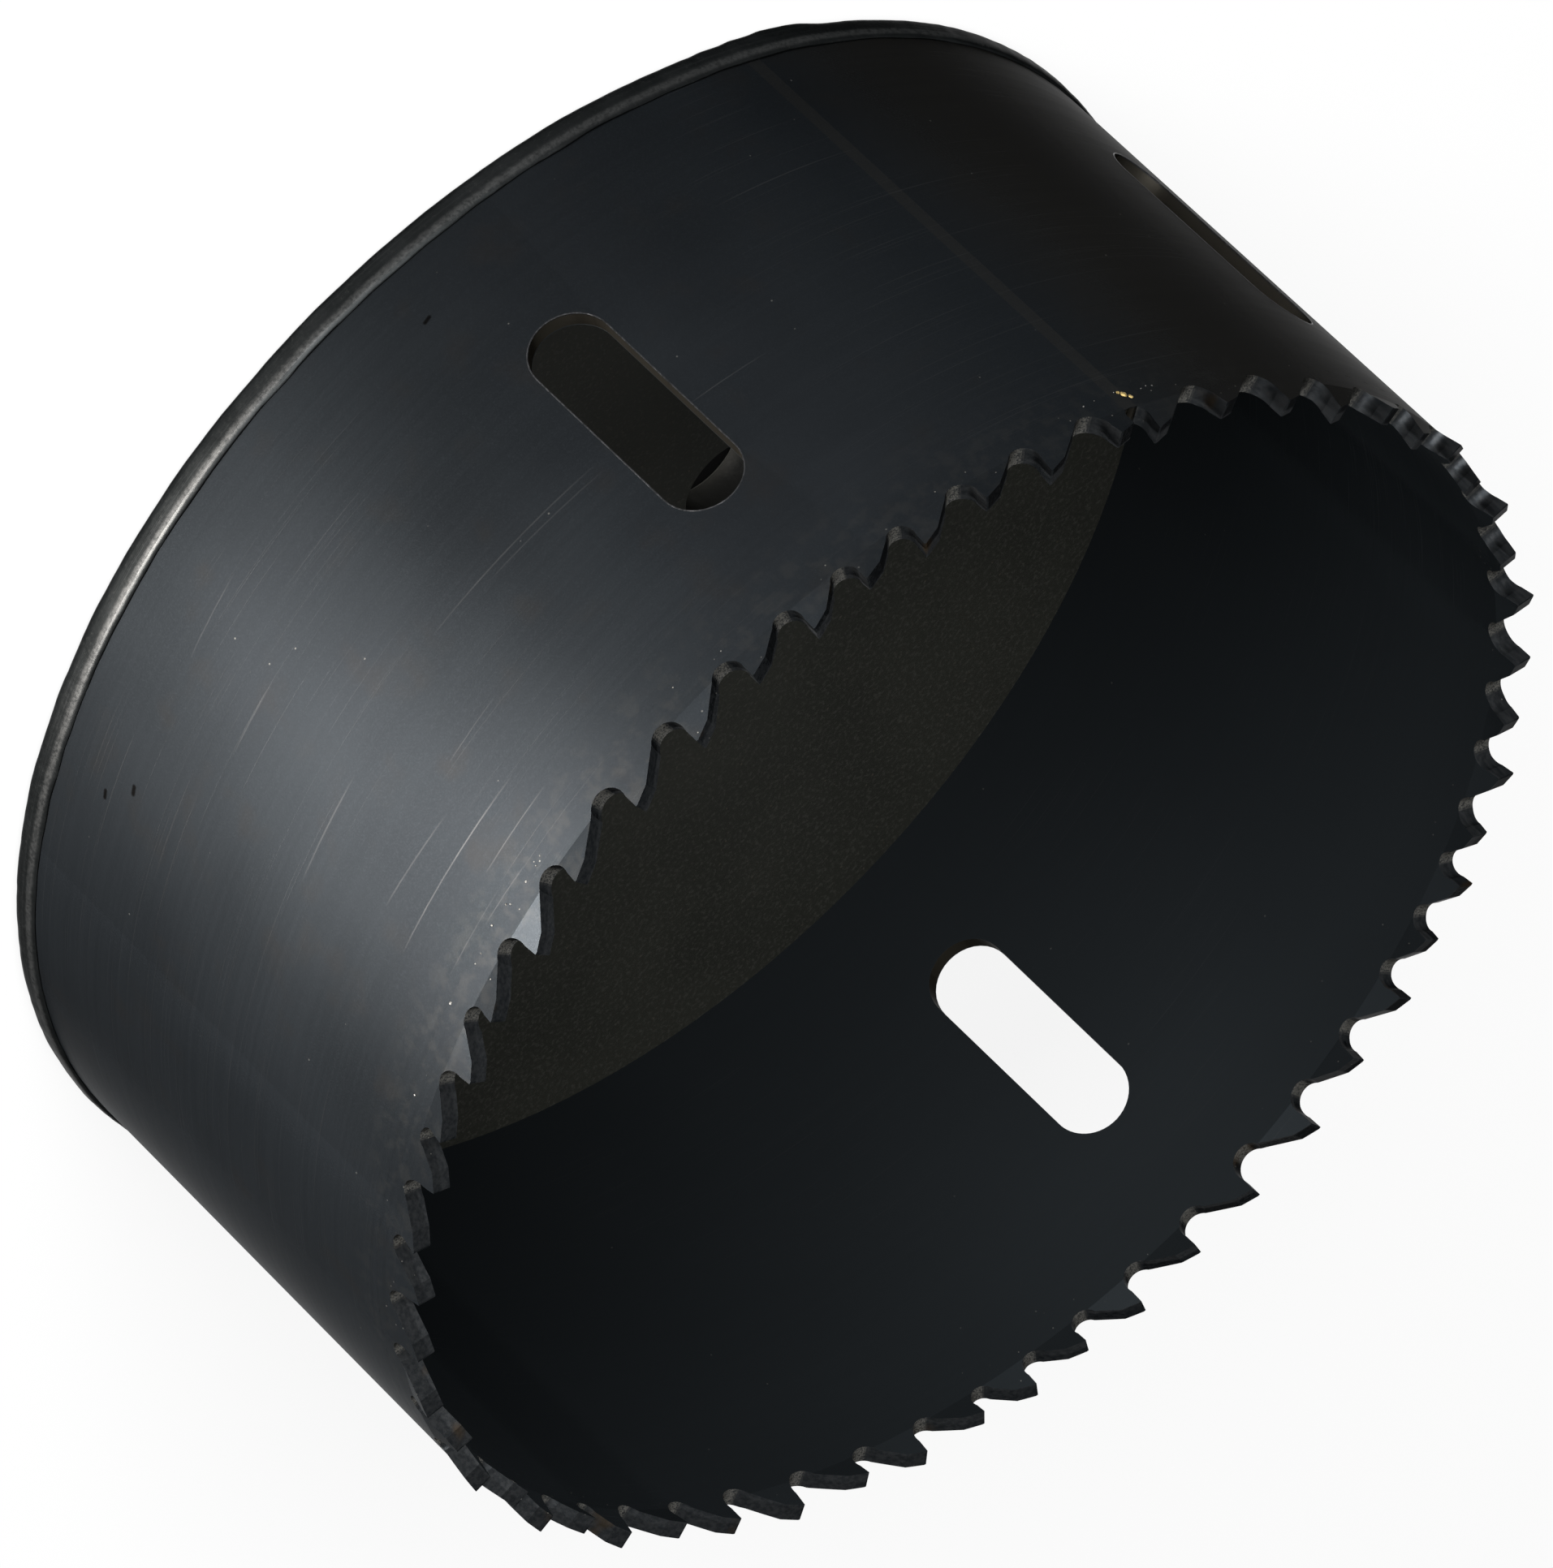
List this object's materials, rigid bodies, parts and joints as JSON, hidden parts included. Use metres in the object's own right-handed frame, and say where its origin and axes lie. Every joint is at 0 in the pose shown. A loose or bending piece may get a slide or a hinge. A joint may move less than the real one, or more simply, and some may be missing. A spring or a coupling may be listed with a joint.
{
  "type": "hole saw",
  "caption": "Cup-shaped hole saw with set teeth round its rim, chip slots in the wall and a threaded, pin-driven end plate.",
  "frame": {"origin": "centre of the end plate's back face, on the arbor axis", "axes": "+Z along the axis towards the teeth; +X near the first drive-pin hole"},
  "size_m": [0.089, 0.089, 0.0412],
  "materials": {
    "blued_band": "semi-gloss blue-black",
    "tooth_steel": "dark, with bare ground gullets",
    "plate_steel": "matt black",
    "bead_steel": "dark, rubbed along the crown",
    "seam_steel": "dark, faintly lined"
  },
  "bodies": {
    "root": {"cup_wall": "blued_band", "tooth_strip": "tooth_steel", "end_plate": "plate_steel", "plate_weld": "bead_steel", "seam_weld": "seam_steel"}
  },
  "joints": []
}
